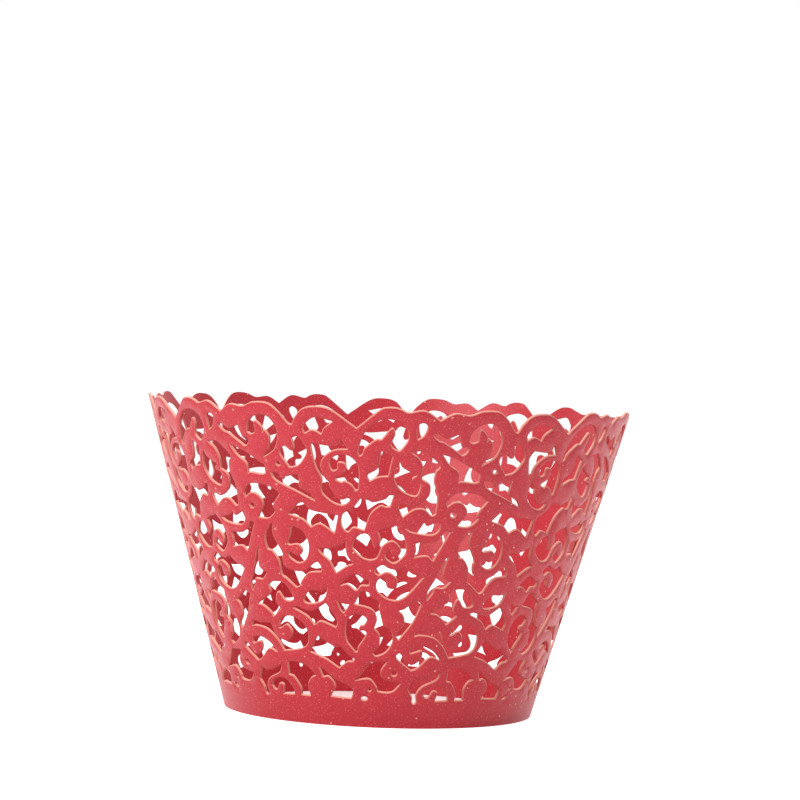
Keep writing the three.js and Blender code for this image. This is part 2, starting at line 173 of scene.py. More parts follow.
OPENINGS = {
    "lobe_curl": """
        ^-6.2 44.9, -6.4 45.9, -5.2 48.4, -2.8 50.3, 0.5 51, 3.9 50.2, 5.1 48.2, 3.8 46.4, 2.7 46, 1.2
        46.9, 2 48.7, 1.1 49.6, ^-1.1 47.7, -2.5 47.6, -5 46.2, -5.6 45.2
    """,
    "rim_tear": "^-46.8 47.9, -47.1 49.8, -46.3 50.5, -45.3 50.5, -44.7 49.9, -45.5 48.5",
    "wedge": """
        -43.1 48.6, -42.3 49, -40 48.2, ^-37.3 48.9, -36.1 46.9, -35.1 47, -34.5 46.6, -34.8 46, -35.8
        45.6, -37 46.1, -40.3 47.5, -41.7 47.8
    """,
    "rim_curl": """
        ^-34.5 47.9, -33.9 49.4, -31.9 50.6, -28.5 50.6, -26.3 48.3, -27.3 45.5, ^-30.7 43.9, -30 44.6,
        -28.9 45.4, -28.4 47.2, -29.6 48.4, ^-30.2 47.9, -30.2 48.8, -31.7 49.8, -32.4 49.4, ^-32.4 47.9,
        -33.5 47.6
    """,
    "lobe_bow": """
        ^-19.3 48.2, -19.6 48.9, -19 49.7, -16.6 50.8, ^-12.4 50.3, -14.5 49.2, ^-15.2 48.2, -17.3 48.8
    """,
    "bell": """
        ^-17.7 46.6, -17.8 45.8, -16.9 43, -15.5 41, -15.7 39.1, -15 38.2, -12.7 37.1, -10.2 36.8, -8.6
        37.6, -9.2 37.9, -10.4 37.6, -11.9 37.9, -13.6 39.6, -13.8 40.4, -14.8 41.1, -15.8 43, -14.7 44.6,
        -12.1 45.7, ^-9.1 45.9, ^-10.5 47.5, -11.8 46.3
    """,
    "spiral": """
        -12 41, -9.8 42, -9.6 43.5, -11.4 43.7, -11.7 42.6, -12.9 42.4, -13.4 43.7, -11.7 44.8, -8.7 44.8,
        -6.5 43.1, -6.5 39.8, ^-7.1 39.2, -8 40.1, -9.8 40.7, -10.7 40.5
    """,
    "boot": "^-1 45.8, -1.7 43.1, -4.1 41.9, ^-3.7 40.9, -1.6 41.6, ^0.7 41.8, ^1.6 45",
    "heart": """
        ^-23.7 42.5, -26 44.7, -24.8 45.9, -23 45.2, -22.1 45.7, ^-22.6 47.3, -20.9 47.5, -19.2 45.8,
        -19.3 44.7, -21.3 43
    """,
    "leaf": """
        ^-40.5 45.6, -36.4 44.7, ^-30.7 42.6, ^-30.7 41.3, -31.8 41.1, -34.9 41.3, ^-35.8 41.1, -36.1
        42.8, -38.6 44
    """,
    "long_s": """
        ^-48.1 45.8, -45.2 46, -42.9 45, -41.1 43.9, -41.1 43.3, -41.8 42.8, -42 41.1, -40.8 38.9, ^-40.8
        35.8, -41.8 35.6, -43.8 36.6, -46.4 36.5, ^-49.1 35.2, -50.1 36.5, ^-50.2 37.2, -48.9 37.2, -47.1
        36.9, -44.8 37.5, -42.9 38.8, -42.9 40.6, ^-45 41.5, -44.9 43.3, -46.1 44.9
    """,
    "drift": """
        ^-29.1 41.4, -27.1 41.4, -26.5 40.7, ^-25.7 40.4, -25 40.9, ^-21.7 41.4, -21.5 40.8, -21.5 39.2,
        -18.9 38.3, ^-17.4 37.2, -22.5 38.7, -27.8 40.2
    """,
    "oval": """
        ^-50.6 44.1, -51.4 43.2, -51.6 41.3, -49.9 39.6, -46.8 38.7, -45.6 39.2, -45.4 40.8, -47.1 41.1,
        -47.3 41.6, ^-46.3 42.1, -49.7 43.2
    """,
    "cloak": """
        ^-5.9 37.9, -7.7 36.4, -10.4 35.2, -10.7 33.4, -9.2 32.4, -7.7 33.2, ^-4.9 32.8, -3.4 35.5, -1
        36.9, 0.3 36.8, ^1.5 36.8, ^2.3 38.7, 1.2 38.6, 0.3 38, -2.6 37.4, -4 37.7
    """,
    "smile": """
        ^-48.1 33.3, -46.8 33.6, -45.2 33.7, ^-43.4 34.3, -42.5 33.8, -39.8 34.5, -39.3 33.3, -41.2 32.4,
        -46.2 32.7
    """,
    "hound": """
        ^-37.6 33.1, ^-36.3 32.9, ^-40.1 28.1, -41.9 28.9, ^-45.4 28.6, -44.9 29.6, ^-45.2 30.8, -43.8
        31.1, -42.1 31, -39 31.7
    """,
    "crescent": """
        ^-37.9 37.1, -38 38, -35.5 39.4, -30.4 39.2, ^-27.2 38.1, -29.2 36.4, -29.5 35.6, -29.2 35, -31.4
        33.9, ^-34.5 33.9, -32.4 36.1, -33.8 37.6, -36 37.9
    """,
    "bat": """
        ^-25.1 34.8, -21.4 36.8, -18.8 35.6, ^-11.7 35, ^-12.7 32.1, -16.4 33.5, ^-19.1 32.9, -21.3 34.1
    """,
    "five": """
        ^-24.4 32.9, -21.5 32, -20.1 29.9, -20.9 27.7, -23.3 26.8, -25.7 27.5, -26.2 28.1, -25.6 28.4,
        -23.2 27.9, -21.9 28.9, -23.2 29.9, -25.6 29.7, -26.2 30, -25.4 30.9
    """,
    "swan": """
        ^-30.3 33, -30.6 31, -28.3 28.3, -28.5 27.4, -27.3 25.7, -22.1 25.4, -18.9 26.8, ^-17.7 27.1,
        -16.9 26.3, ^-16.8 25.6, -20.5 25.3, -22.8 24, -23.7 23, ^-24.8 22.7, -27.7 24.1, -29 24.7, -29.5
        26.9, -31.4 28.5, -32.8 28.8, -33.1 30.7, -31.4 32.5
    """,
    "kite": """
        ^-35.9 28.9, -36.8 25.8, ^-34.3 24.6, -36.1 23.6, -38.6 23.6, -39.2 22.6, ^-40.5 21.5, -40.4 23,
        -38.4 25.4, -36.8 28
    """,
    "bowl": """
        ^-42.2 25.3, -45.4 25.8, ^-47.7 26.9, -49.8 26.4, -52 26.6, -53.8 27.1, ^-55.8 26.3, -55.6 25.8,
        ^-54.7 25.4, -52.3 26, -49.6 25, -49.5 23.6, -50.4 23.2, -52.3 23.5, -53 24.9, -54.9 24.5, -54.9
        22.8, -51.1 21.4, -47.1 21.9
    """,
    "bat2": """
        ^-11.7 23.4, -7.7 25.4, -4.7 24.6, -3.5 24.5, -3.5 23.7, -5.6 23.6, -7 22.8, -9.4 23.7
    """,
    "arrow": """
        -17 29.4, -14.1 29.4, -10.9 30.2, ^-9.8 30.8, -9.6 28.7, ^-7.8 27.1, -9.6 26.7, ^-12.6 25.5, -14.2
        27.4, -16.7 28.7
    """,
    "pebble": """
        -6.1 31.9, -7.8 30.3, -7.4 29.4, -4.7 28.1, -1.6 28.2, 0 30.3, 2.7 31.2, 5 29.9, 4.4 28.7, 2.8
        28.9, ^2 29.8, 0.9 28.6, 2.8 27.6, 4.4 27.9, 6.3 29.4, 5.6 31.8, ^3.3 33.7, 2.1 33.3, 1 33.3,
        ^-1.2 32.6, -0.4 31.1, ^-2.1 29.8, -3.8 32
    """,
    "feather": """
        ^-48.4 19.6, -46.8 19.9, -44.4 21, -43 21.2, ^-42 20.8, -44.1 17.8, ^-48 14.7, -48.6 15.6, -46.5
        17.2, -46.9 18.8
    """,
    "anvil": """
        ^-39.2 19.3, -33.9 21.2, ^-34.1 22.7, -32.2 23.3, -28.7 23.1, -26.3 21.1, -26.6 20.4, -28.9 20.4,
        -30.6 21.6, -31.6 21.5, -32.3 20.2, -31.9 19.4, ^-30.7 18.9, ^-33.8 17.4, -34.5 18.1, -37 19.1
    """,
    "river": """
        ^-43.1 15.4, ^-42.9 16.1, -41.3 16.3, -39.2 16.1, ^-35.2 16.2, -33.7 14.2, -30.4 13.4, -28.9 13.7,
        -27.5 15.1, -29.2 16.3, -31.3 15.7, ^-32.1 15.6, -31.1 17.1, -27.7 17.7, -23.8 16.7, -22.2 14.7,
        -23.8 12.7, ^-31.2 11.8, -33.5 13.7, -37 15.2, -41.3 15.6
    """,
    "bird": """
        -47.2 12.4, -45.2 11.1, -42.9 10.5, -40.3 11.6, -40.3 13, -43.6 12.5, ^-44.1 12.8, -43.3 13.4,
        -40.3 13.7, -36.8 12.9, ^-34 11.4, -37.4 11.9, -41.1 10.1, ^-43.1 9.6, -48 11.6
    """,
    "basin": """
        ^-7.5 7.6, -5.9 8.1, ^-2 10.8, ^2.8 10.9, 1 9.3, 2.2 7.9, ^7.7 7.3, 5 5.9, 0.7 5.9, -0.1 6.7, -2.6
        8
    """,
    "thorn": """
        ^-41.8 8.6, -40.2 8.1, -36.8 8.3, -33.5 9.2, -34.4 8, -38.8 6.9, -40.7 5.5, -40.3 4.3, -41 3.9,
        -41.8 4.2, -42 5.1, ^-43.6 6.4
    """,
    "arch": """
        ^-38.2 5.6, -37.5 6.3, -35 7, -31.8 6.8, -29.6 5.5, ^-29.2 4.5, ^-33.7 4.4, -33.2 5.9, -35 6.1,
        -36.2 5.1, -37.3 5
    """,
    "mushroom": """
        ^-30.5 9.8, -28.3 10, -23.8 9.5, ^-20.6 8, -22.4 7.6, -23.7 6.3, ^-23.1 4.5, ^-26.4 4.5, -26.3
        5.7, -28.7 7.5, ^-30.5 7.8
    """,
    "cap": """
        ^-19.1 9.4, -17.6 9.1, -13.7 7.5, -8.8 6.4, -8 5.5, ^-8.6 4.5, ^-15.6 4.7, -13.8 6.5, -16 8, ^-18
        7.9
    """,
    "bat3": """
        ^-21.9 12, ^-18.9 14.9, -18 14.3, -15.1 13.4, -13.1 12.9, ^-11.9 13.3, -9.4 11.8, ^-7.5 11.2, -8.1
        10.8, -9.8 10.7, ^-12.5 9.6, -16.8 11
    """,
    "wing": """
        ^-26.5 19.2, -25 19.4, -20.6 18.8, ^-16 20.3, -12.8 17.7, ^-13.1 16.4, -17.6 17.3, ^-19.9 16.6,
        -22.1 18
    """,
    "moon": "-22.7 20.7, -20.6 22.2, -17 22.3, ^-15.3 22.8, -16.2 21.3, -17.8 20.5, -21.3 20.1",
    "notch": "^-12.4 20.8, -10.9 20.4, ^-9 20.3, ^-10.7 18.9, -11.6 19.5",
    "sickle": """
        ^-7.6 20.5, -6.9 20.9, ^-5.8 22.4, -4.3 22.6, ^-3.3 22.4, -2.7 21.7, -0.3 20.9, -0.3 19.9, ^1
        17.2, 1.9 16.7, 3.5 16.3, 4.2 14.5, 2.5 12.7, -0.5 11.9, ^-1.6 12.3, 0.3 13.7, 0.2 15.5, ^-1.4
        16.5, -0.7 18.2, -2.5 19.8
    """,
    "eight": """
        ^-7 12.4, -9.9 14.5, -9.6 17.6, -6.7 18.8, -3.9 18.1, -4.5 17.1, -5.6 16.9, -6.1 16.4, -5.6 16,
        -4.5 16, -3.9 15.4, -6.3 13.3, -6.5 12.7
    """,
}

# Round pinholes of the ornament: degrees, millimetres up, and half their width and height in millimetres.
PINHOLES = {
    "rim_dot": (-26.7, 43.0, 0.38, 0.33),
    "crescent_eye": (-36.1, 35.8, 0.41, 0.45),
    "foot_curl_eye": (-48.6, 9.0, 0.44, 0.42),
    "foot_dot": (-2.4, 6.1, 0.22, 0.25),
    "foot_bean": (-4.1, 4.6, 0.53, 0.33),
}
PINHOLE_SIDES = 14

# Repeats are laid past both ends of the blank too, and what doesn't clear the ends is left out.
SPARE_REPEATS = 3

# The blank is a fan cut from flat card, and rolls into the cone.
slant = math.hypot(RIM_RADIUS - FOOT_RADIUS, HEIGHT)
sin_taper = (RIM_RADIUS - FOOT_RADIUS) / slant
cos_taper = HEIGHT / slant
apex_to_foot = FOOT_RADIUS / sin_taper
repeat_angle = (FULL_TURN + LAP_ANGLE) / REPEATS_ON_BLANK
blank_end = LAP_MIDDLE + LAP_ANGLE / 2
blank_start = blank_end - LAP_ANGLE - FULL_TURN
blank_middle = (blank_start + blank_end) / 2
cut_start = blank_start + LAP_ANGLE
cut_end = blank_end - LAP_ANGLE
first_repeat = math.floor(blank_start / repeat_angle) - 1
repeats = range(first_repeat, first_repeat + REPEATS_ON_BLANK + SPARE_REPEATS)
lap_top = slant - LAP_TOP_DROP

# The radius grows by one card and the glue line in a full turn, so the ends lie one over the other.
lap_rise = (CARD_THICKNESS + LAP_CLEARANCE) / cos_taper


def on_blank(angle, up):
    """The place on the flat blank, in metres, of an angle round the cone and a height up its side."""
    fan = math.radians(angle) * sin_taper
    reach = apex_to_foot + up
    return Vector((reach * math.sin(fan), reach * math.cos(fan)))


def from_blank(point):
    """The angle round the cone and the height up its side of a point on the flat blank."""
    fan = math.atan2(point.x, point.y)
    return math.degrees(fan / sin_taper), point.length - apex_to_foot


def roll(angle, up, depth):
    """Rolls a place on the blank onto the cone, at a depth below the card's outer face."""
    turn = math.radians(angle)
    on_foot = up < FOOT_TOLERANCE
    climb = 0.0 if on_foot else up * cos_taper + depth * sin_taper
    inset = depth / cos_taper if on_foot else depth * cos_taper
    rise = lap_rise * (angle - blank_middle) / FULL_TURN
    radius = FOOT_RADIUS + up * sin_taper + rise - inset
    return Vector((radius * math.sin(turn), -radius * math.cos(turn), climb))


def place_drawn(across, up, repeat):
    """The angle and height, on the given repeat, of a drawn place in degrees and millimetres."""
    angle = across * repeat_angle / DRAWN_REPEAT + repeat * repeat_angle
    height = (up * MM + FOOT_MARGIN) * slant / (DRAWN_HEIGHT * MM + FOOT_MARGIN)
    return angle, height


def read_knots(text, repeat):
    """Knots of one line as (angle, sharp, point on the blank)."""
    knots = []
    for word in text.strip().split(","):
        word = word.strip()
        across, up = (float(value) for value in word.lstrip("^").split())
        angle, height = place_drawn(across, up, repeat)
        knots.append((angle, word.startswith("^"), on_blank(angle, height)))
    return knots


def smooth_edge(knots, index):
    """Points from one knot up to the next, on a curve that leaves sharp knots straight."""
    following = (index + 1) % len(knots)
    start = knots[index][2]
    end = knots[following][2]

    def tangent(at):
        if knots[at][1]:
            return end - start
        return (knots[(at + 1) % len(knots)][2] - knots[at - 1][2]) * 0.5

    leaving = start + tangent(index) / 3
    arriving = end - tangent(following) / 3
    points = []
    for step in range(EDGE_STEPS):
        t = step / EDGE_STEPS
        back = 1 - t
        points.append(
            start * back**3 + leaving * 3 * back**2 * t + arriving * 3 * back * t**2 + end * t**3
        )
    return points


def clears_the_ends(outline):
    """True if an outline on the blank stays off the plain strips at both ends."""
    for point in outline:
        angle, up = from_blank(point)
        nearer = min(angle - cut_start, cut_end - angle)
        if math.radians(nearer) * (apex_to_foot + up) * sin_taper <= CUT_MARGIN:
            return False
    return True


def pinhole_outline(across, up, half_width, half_height, repeat):
    """One pinhole's cut edge on the blank, in the given repeat."""
    angle, height = place_drawn(across, up, repeat)
    centre = on_blank(angle, height)
    outline = []
    for side in range(PINHOLE_SIDES):
        turn = 2 * math.pi * side / PINHOLE_SIDES
        offset = Vector((half_width * math.cos(turn), half_height * math.sin(turn))) * MM
        outline.append(centre + offset)
    return outline


def opening_outline(text, repeat):
    """One opening's cut edge on the blank, in the given repeat."""
    knots = read_knots(text, repeat)
    return [point for index in range(len(knots)) for point in smooth_edge(knots, index)]


def anticlockwise(outline):
    """The outline in the direction that has its opening on the left and its card on the right."""
    area = sum(a.x * b.y - b.x * a.y for a, b in zip(outline, outline[1:] + outline[:1]))
    return outline if area > 0 else list(reversed(outline))


def cut_openings():
    """Each opening on the blank, as its cut edge and the line where its shoulder begins."""
    drawn = [partial(opening_outline, text) for text in OPENINGS.values()]
    drawn += [partial(pinhole_outline, *sizes) for sizes in PINHOLES.values()]
    found = []
    for outline_on in drawn:
        widths = shoulder_widths(anticlockwise(outline_on(0)))
        for repeat in repeats:
            edge = anticlockwise(outline_on(repeat))
            if clears_the_ends(edge):
                found.append((edge, shoulder_line(edge, widths)))
    return found


def rim_line():
    """The scalloped rim over the cut zone, from its left end to its right end."""
    knots = [knot for repeat in repeats for knot in read_knots(RIM_KNOTS, repeat)]
    inside = [knot for knot in knots if min(knot[0] - cut_start, cut_end - knot[0]) > RIM_END_ANGLE]
    left = (cut_start, True, on_blank(cut_start, lap_top))
    right = (cut_end, True, on_blank(cut_end, lap_top))
    line = [left, *inside, right]
    points = []
    for index in range(len(line) - 1):
        points += smooth_edge(line, index)
    return [*points, right[2]]


def spaced(start, end, step):
    """Even places from start to end, both included, about a step apart."""
    count = max(1, round(abs(end - start) / step))
    return [start + (end - start) * index / count for index in range(count + 1)]


def zone_contour():
    """The cut zone's edge in runs: foot, right side, rim from right to left, and left side."""
    rows = spaced(0.0, lap_top, GRID_STEP)
    foot = [on_blank(angle, 0.0) for angle in spaced(cut_start, cut_end, STRIP_STEP_ANGLE)]
    right = [on_blank(cut_end, up) for up in rows[1:-1]]
    left = [on_blank(cut_start, up) for up in reversed(rows[1:-1])]
    return foot, right, list(reversed(rim_line())), left


def distance_to_line(point, start, end):
    along = end - start
    share = (point - start).dot(along) / max(along.length_squared, LEAST_SQUARED_LENGTH)
    return (point - start - along * min(1.0, max(0.0, share))).length


def is_inside(point, outline):
    inside = False
    for index, end in enumerate(outline):
        start = outline[index - 1]
        if (start.y > point.y) != (end.y > point.y):
            crossing = start.x + (point.y - start.y) * (end.x - start.x) / (end.y - start.y)
            if point.x < crossing:
                inside = not inside
    return inside


def outline_box(outline, margin):
    """Lowest and highest x, then lowest and highest y, with a margin all round."""
    xs = [point.x for point in outline]
    ys = [point.y for point in outline]
    return min(xs) - margin, max(xs) + margin, min(ys) - margin, max(ys) + margin


def normals_into_card(outline):
    """Unit normals on the right-hand side of an outline, where its card lies."""
    count = len(outline)
    normals = []
    for index in range(count):
        along = outline[(index + 1) % count] - outline[index - 1]
        normals.append(Vector((along.y, -along.x)).normalized())
    return normals


def room_beside(outline, index, point):
    """How far a point beside one corner of an outline is from the rest of that outline."""
    count = len(outline)
    return min(
        distance_to_line(point, outline[other], outline[(other + 1) % count])
        for other in range(count)
        if min((other - index) % count, (index - 1 - other) % count) > SHOULDER_SKIP
    )


def shoulder_widths(outline):
    """The shoulder's width at each point: full, or less in a tight bend or a slim tongue of card."""
    count = len(outline)
    normals = normals_into_card(outline)
    widths = []
    for index, (point, normal) in enumerate(zip(outline, normals)):
        width = SHOULDER_WIDTH
        while width > SHOULDER_LEAST and (
            room_beside(outline, index, point + normal * width) < width * SHOULDER_ROOM
        ):
            width *= SHOULDER_EASE
        widths.append(width)
    for _ in range(SHOULDER_TRIES):
        for index in range(count):
            following = (index + 1) % count
            along = outline[following] - outline[index]
            start = outline[index] + normals[index] * widths[index]
            end = outline[following] + normals[following] * widths[following]
            if (end - start).dot(along) < SHOULDER_SQUEEZE * along.length_squared:
                widths[index] *= SHOULDER_EASE
                widths[following] *= SHOULDER_EASE
    return widths


def shoulder_line(outline, widths):
    """An outline moved into the card by the shoulder's widths."""
    normals = normals_into_card(outline)
    return [point + normal * width for point, normal, width in zip(outline, normals, widths)]


def filling_points(contour, outlines):
    """Staggered points over the card between the openings, so that the roll comes out smooth."""
    boxes = [(outline_box(outline, GRID_CLEARANCE), outline) for outline in outlines]
    points = []
    for row, up in enumerate(spaced(0.0, slant, GRID_STEP)[1:]):
        radius = (apex_to_foot + up) * sin_taper
        step = math.degrees(GRID_STEP / radius)
        angle = cut_start + step * GRID_ROW_STARTS[row % 2]
        while angle < cut_end - step * GRID_END_GAP:
            point = on_blank(angle, up)
            angle += step
            near = [
                outline
                for (low_x, high_x, low_y, high_y), outline in boxes
                if low_x < point.x < high_x and low_y < point.y < high_y
            ]
            if any(is_inside(point, outline) for outline in near):
                continue
            if any(
                distance_to_line(point, outline[index - 1], end) < GRID_CLEARANCE
                for outline in near
                for index, end in enumerate(outline)
            ):
                continue
            if up > slant * RIM_ZONE and not is_inside(point, contour):
                continue
            points.append(point)
    return points


def triangulate(contour, outlines, filling):
    """Points and triangles of the cut zone. Millimetres keep the triangulation precise."""
    loops = [contour, *outlines]
    points = [point / MM for loop in loops for point in loop]
    cuts = []
    first = 0
    for loop in loops:
        count = len(loop)
        cuts += [(first + index, first + (index + 1) % count) for index in range(count)]
        first += count
    points += [point / MM for point in filling]
    found = delaunay_2d_cdt(points, cuts, [], 0, CUT_TOLERANCE, False)
    return [Vector(point) * MM for point in found[0]], card_region(found[2], cuts)


def card_region(triangles, cuts):
    """The triangles of the card: those that can be reached from each other without crossing a cut."""
    barred = {frozenset(cut) for cut in cuts}
    beside = {}
    for number, triangle in enumerate(triangles):
        for side in range(3):
            beside.setdefault(frozenset((triangle[side - 1], triangle[side])), []).append(number)
    largest = []
    waiting = set(range(len(triangles)))
    while waiting:
        region = [waiting.pop()]
        for number in region:
            triangle = triangles[number]
            for side in range(3):
                edge = frozenset((triangle[side - 1], triangle[side]))
                if edge in barred:
                    continue
                for other in beside[edge]:
                    if other in waiting:
                        waiting.remove(other)
                        region.append(other)
        if len(region) > len(largest):
            largest = region
    return [tuple(triangles[number]) for number in largest]


def place_key(point):
    """The same for two points of the blank that are the same but for rounding."""
    return round(point.x, KEY_DIGITS), round(point.y, KEY_DIGITS)


def add_end_strip(points, faces, start, end, shared):
    """Adds one plain end strip that shares the cut zone's points on their common side."""
    rows = spaced(0.0, lap_top, GRID_STEP)
    columns = []
    for angle in spaced(start, end, STRIP_STEP_ANGLE):
        column = []
        for up in rows:
            point = on_blank(angle, up)
            key = place_key(point)
            if key not in shared:
                shared[key] = len(points)
                points.append(point)
            column.append(shared[key])
        columns.append(column)
    for left, right in zip(columns, columns[1:]):
        for row in range(len(rows) - 1):
            faces.append((left[row], right[row], right[row + 1], left[row + 1]))


def signed_area(points, face):
    corners = [points[index] for index in face]
    return sum(a.x * b.y - b.x * a.y for a, b in zip(corners, corners[1:] + corners[:1]))


def rim_shoulder(rim):
    """The line where the rim's shoulder begins, for a rim that runs from right to left."""
    line = list(reversed(rim))
    middle = [SHOULDER_WIDTH] * (len(line) - 2)
    return list(reversed(shoulder_line(line, [0.0, *middle, 0.0])))


def add_shoulder(points, faces, shoulders, edge, first, closed):
    """Adds the band between a line of the flat card, whose points start at first, and its cut edge."""
    start = len(points)
    points += edge
    shoulders.update(range(start, len(points)))
    count = len(edge)
    for index in range(count if closed else count - 1):
        following = (index + 1) % count
        band = (first + index, first + following, start + following, start + index)
        faces.append(band if closed else tuple(reversed(band)))


def wrapper_mesh():
    """The card as one closed mesh: flat blank, shoulders along its cut edges, then rolled up."""
    foot, right, rim, left = zone_contour()
    openings = cut_openings()
    lines = [line for _, line in openings]
    contour = [*foot, *right, *rim_shoulder(rim), *left]
    points, faces = triangulate(contour, lines, filling_points(contour, lines))
    shared = {place_key(point): index for index, point in enumerate(points)}
    add_end_strip(points, faces, blank_start, cut_start, shared)
    add_end_strip(points, faces, cut_end, blank_end, shared)
    faces = [face if signed_area(points, face) > 0 else tuple(reversed(face)) for face in faces]

    shoulders = set()
    first = len(contour)
    for edge, _ in openings:
        add_shoulder(points, faces, shoulders, edge, first, True)
        first += len(edge)
    rim_start = len(foot) + len(right)
    add_shoulder(points, faces, shoulders, rim, rim_start, False)
    weld = {len(points) - len(rim): rim_start, len(points) - 1: rim_start + len(rim) - 1}
    faces = [tuple(dict.fromkeys(weld.get(index, index) for index in face)) for face in faces]
    return rolled_mesh(points, faces, shoulders)


def rolled_mesh(points, faces, shoulders):
    """Gives the blank its thickness, lowers the cut edge's shoulder and rolls it all up."""
    count = len(points)
    places = [from_blank(point) for point in points]
    verts = [
        roll(angle, up, SHOULDER_DEPTH if index in shoulders else 0.0)
        for index, (angle, up) in enumerate(places)
    ]
    verts += [roll(angle, up, CARD_THICKNESS) for angle, up in places]
    sides = {(a, b) for face in faces for a, b in zip(face, face[1:] + face[:1])}
    walls = [(b, a, a + count, b + count) for a, b in sides if (b, a) not in sides]
    inner = [tuple(index + count for index in reversed(face)) for face in faces]

    mesh = bpy.data.meshes.new("wrapper_card")
    mesh.from_pydata(verts, [], [*faces, *inner, *sorted(walls)])
    mesh.materials.append(pearl_card())
    mesh.materials.append(cut_edge())
    edge_slot = mesh.materials.find("cut_edge")
    for polygon in mesh.polygons:
        polygon.use_smooth = True
        on_wall = polygon.index >= len(faces) + len(inner)
        on_shoulder = any(vertex in shoulders for vertex in polygon.vertices)
        if on_wall or on_shoulder:
            polygon.material_index = edge_slot
    mesh.set_sharp_from_angle(angle=math.radians(SHARP_ANGLE))
    mesh.validate()
    return mesh


def new_material(name):
    material = bpy.data.materials.new(name)
    material.use_nodes = True
    nodes = material.node_tree.nodes
    return material, nodes, material.node_tree.links, nodes["Principled BSDF"]


def noise(nodes, links, coords, size, detail):
    """Noise whose features are about size metres across."""
    node = nodes.new("ShaderNodeTexNoise")
    node.inputs["Scale"].default_value = 1.0 / size
    node.inputs["Detail"].default_value = detail
    links.new(coords, node.inputs["Vector"])
    return node.outputs["Fac"]


def flakes(nodes, links, coords, spacing, share, radius):
    """1 on scattered mica flakes, painted bright as glints, and 0 between them: a share of cells hold one
    each.
    """
    cells = nodes.new("ShaderNodeTexVoronoi")
    cells.inputs["Scale"].default_value = 1.0 / spacing
    links.new(coords, cells.inputs["Vector"])
    split = nodes.new("ShaderNodeSeparateColor")
    links.new(cells.outputs["Color"], split.inputs["Color"])
    chosen = nodes.new("ShaderNodeMath")
    chosen.operation = "LESS_THAN"
    chosen.inputs[1].default_value = share
    links.new(split.outputs["Red"], chosen.inputs[0])
    near = nodes.new("ShaderNodeMapRange")
    near.inputs["From Min"].default_value = radius
    near.inputs["From Max"].default_value = radius * FLAKE_CORE
    links.new(cells.outputs["Distance"], near.inputs["Value"])
    both = nodes.new("ShaderNodeMath")
    both.operation = "MULTIPLY"
    links.new(chosen.outputs[0], both.inputs[0])
    links.new(near.outputs["Result"], both.inputs[1])
    return both.outputs[0]


def in_clusters(nodes, links, coords, mask):
    """The mask kept in patches and faded out between them, so that its flakes lie in uneven clusters."""
    patches = nodes.new("ShaderNodeMapRange")
    patches.inputs["From Min"].default_value = CLUSTER_LEVEL - CLUSTER_FADE
    patches.inputs["From Max"].default_value = CLUSTER_LEVEL + CLUSTER_FADE
    links.new(noise(nodes, links, coords, CLUSTER_SIZE, CLUSTER_DETAIL), patches.inputs["Value"])
    kept = nodes.new("ShaderNodeMath")
    kept.operation = "MULTIPLY"
    links.new(mask, kept.inputs[0])
    links.new(patches.outputs["Result"], kept.inputs[1])
    return kept.outputs[0]


def blend_colours(nodes, links, factor, first, second):
    """Mixes two colours, each a plain colour or another node's output."""
    mix = nodes.new("ShaderNodeMix")
    mix.data_type = "RGBA"
    links.new(factor, mix.inputs["Factor"])
    sockets = [socket for socket in mix.inputs if socket.type == "RGBA"]
    for socket, colour in zip(sockets, (first, second)):
        if isinstance(colour, tuple):
            socket.default_value = colour
        else:
            links.new(colour, socket)
    return next(socket for socket in mix.outputs if socket.type == "RGBA")


def pearl_card():
    """Red card with a pearl coating: fine mica grain, scattered mica flakes painted bright as glints, and a
    pale grazing sheen.
    """
    material, nodes, links, shader = new_material("pearl_card")
    coords = nodes.new("ShaderNodeTexCoord").outputs["Object"]
    cloud = noise(nodes, links, coords, CLOUD_SIZE, CLOUD_DETAIL)
    grain = noise(nodes, links, coords, GRAIN_SIZE, GRAIN_DETAIL)
    red = blend_colours(nodes, links, cloud, RED_DEEP, RED_LIGHT)
    grained = blend_colours(nodes, links, grain_mask(nodes, links, grain), red, RED_GRAIN)
    fine = flakes(nodes, links, coords, FINE_FLAKE_SPACING, FINE_FLAKE_SHARE, FINE_FLAKE_RADIUS)
    scattered = flakes(nodes, links, coords, BOLD_FLAKE_SPACING, BOLD_FLAKE_SHARE, BOLD_FLAKE_RADIUS)
    bold_glints = in_clusters(nodes, links, coords, scattered)
    # Painted glints: the flakes get bright pink and gold in the base colour, whatever the light.
    with_fine_glints = blend_colours(nodes, links, fine, grained, FLAKE_PINK_GLINT)
    with_bold_glints = blend_colours(nodes, links, bold_glints, with_fine_glints, FLAKE_GOLD_GLINT)
    links.new(with_bold_glints, shader.inputs["Base Color"])

    rough = nodes.new("ShaderNodeMapRange")
    rough.inputs["To Min"].default_value = min(CARD_ROUGHNESS)
    rough.inputs["To Max"].default_value = max(CARD_ROUGHNESS)
    links.new(grain, rough.inputs["Value"])
    links.new(rough.outputs["Result"], shader.inputs["Roughness"])
    shader.inputs["Metallic"].default_value = CARD_METALLIC
    shader.inputs["Specular IOR Level"].default_value = CARD_SPECULAR
    shader.inputs["Sheen Weight"].default_value = CARD_SHEEN
    shader.inputs["Sheen Roughness"].default_value = CARD_SHEEN_ROUGHNESS
    shader.inputs["Sheen Tint"].default_value = SHEEN_TINT

    bump = nodes.new("ShaderNodeBump")
    bump.inputs["Strength"].default_value = GRAIN_BUMP
    bump.inputs["Distance"].default_value = GRAIN_HEIGHT
    links.new(grain, bump.inputs["Height"])
    links.new(bump.outputs["Normal"], shader.inputs["Normal"])
    return material


def grain_mask(nodes, links, grain):
    """Where the mica grain is pale."""
    mask = nodes.new("ShaderNodeMapRange")
    mask.inputs["From Min"].default_value = GRAIN_PALE_FROM
    mask.inputs["From Max"].default_value = GRAIN_PALE_TO
    links.new(grain, mask.inputs["Value"])
    return mask.outputs["Result"]


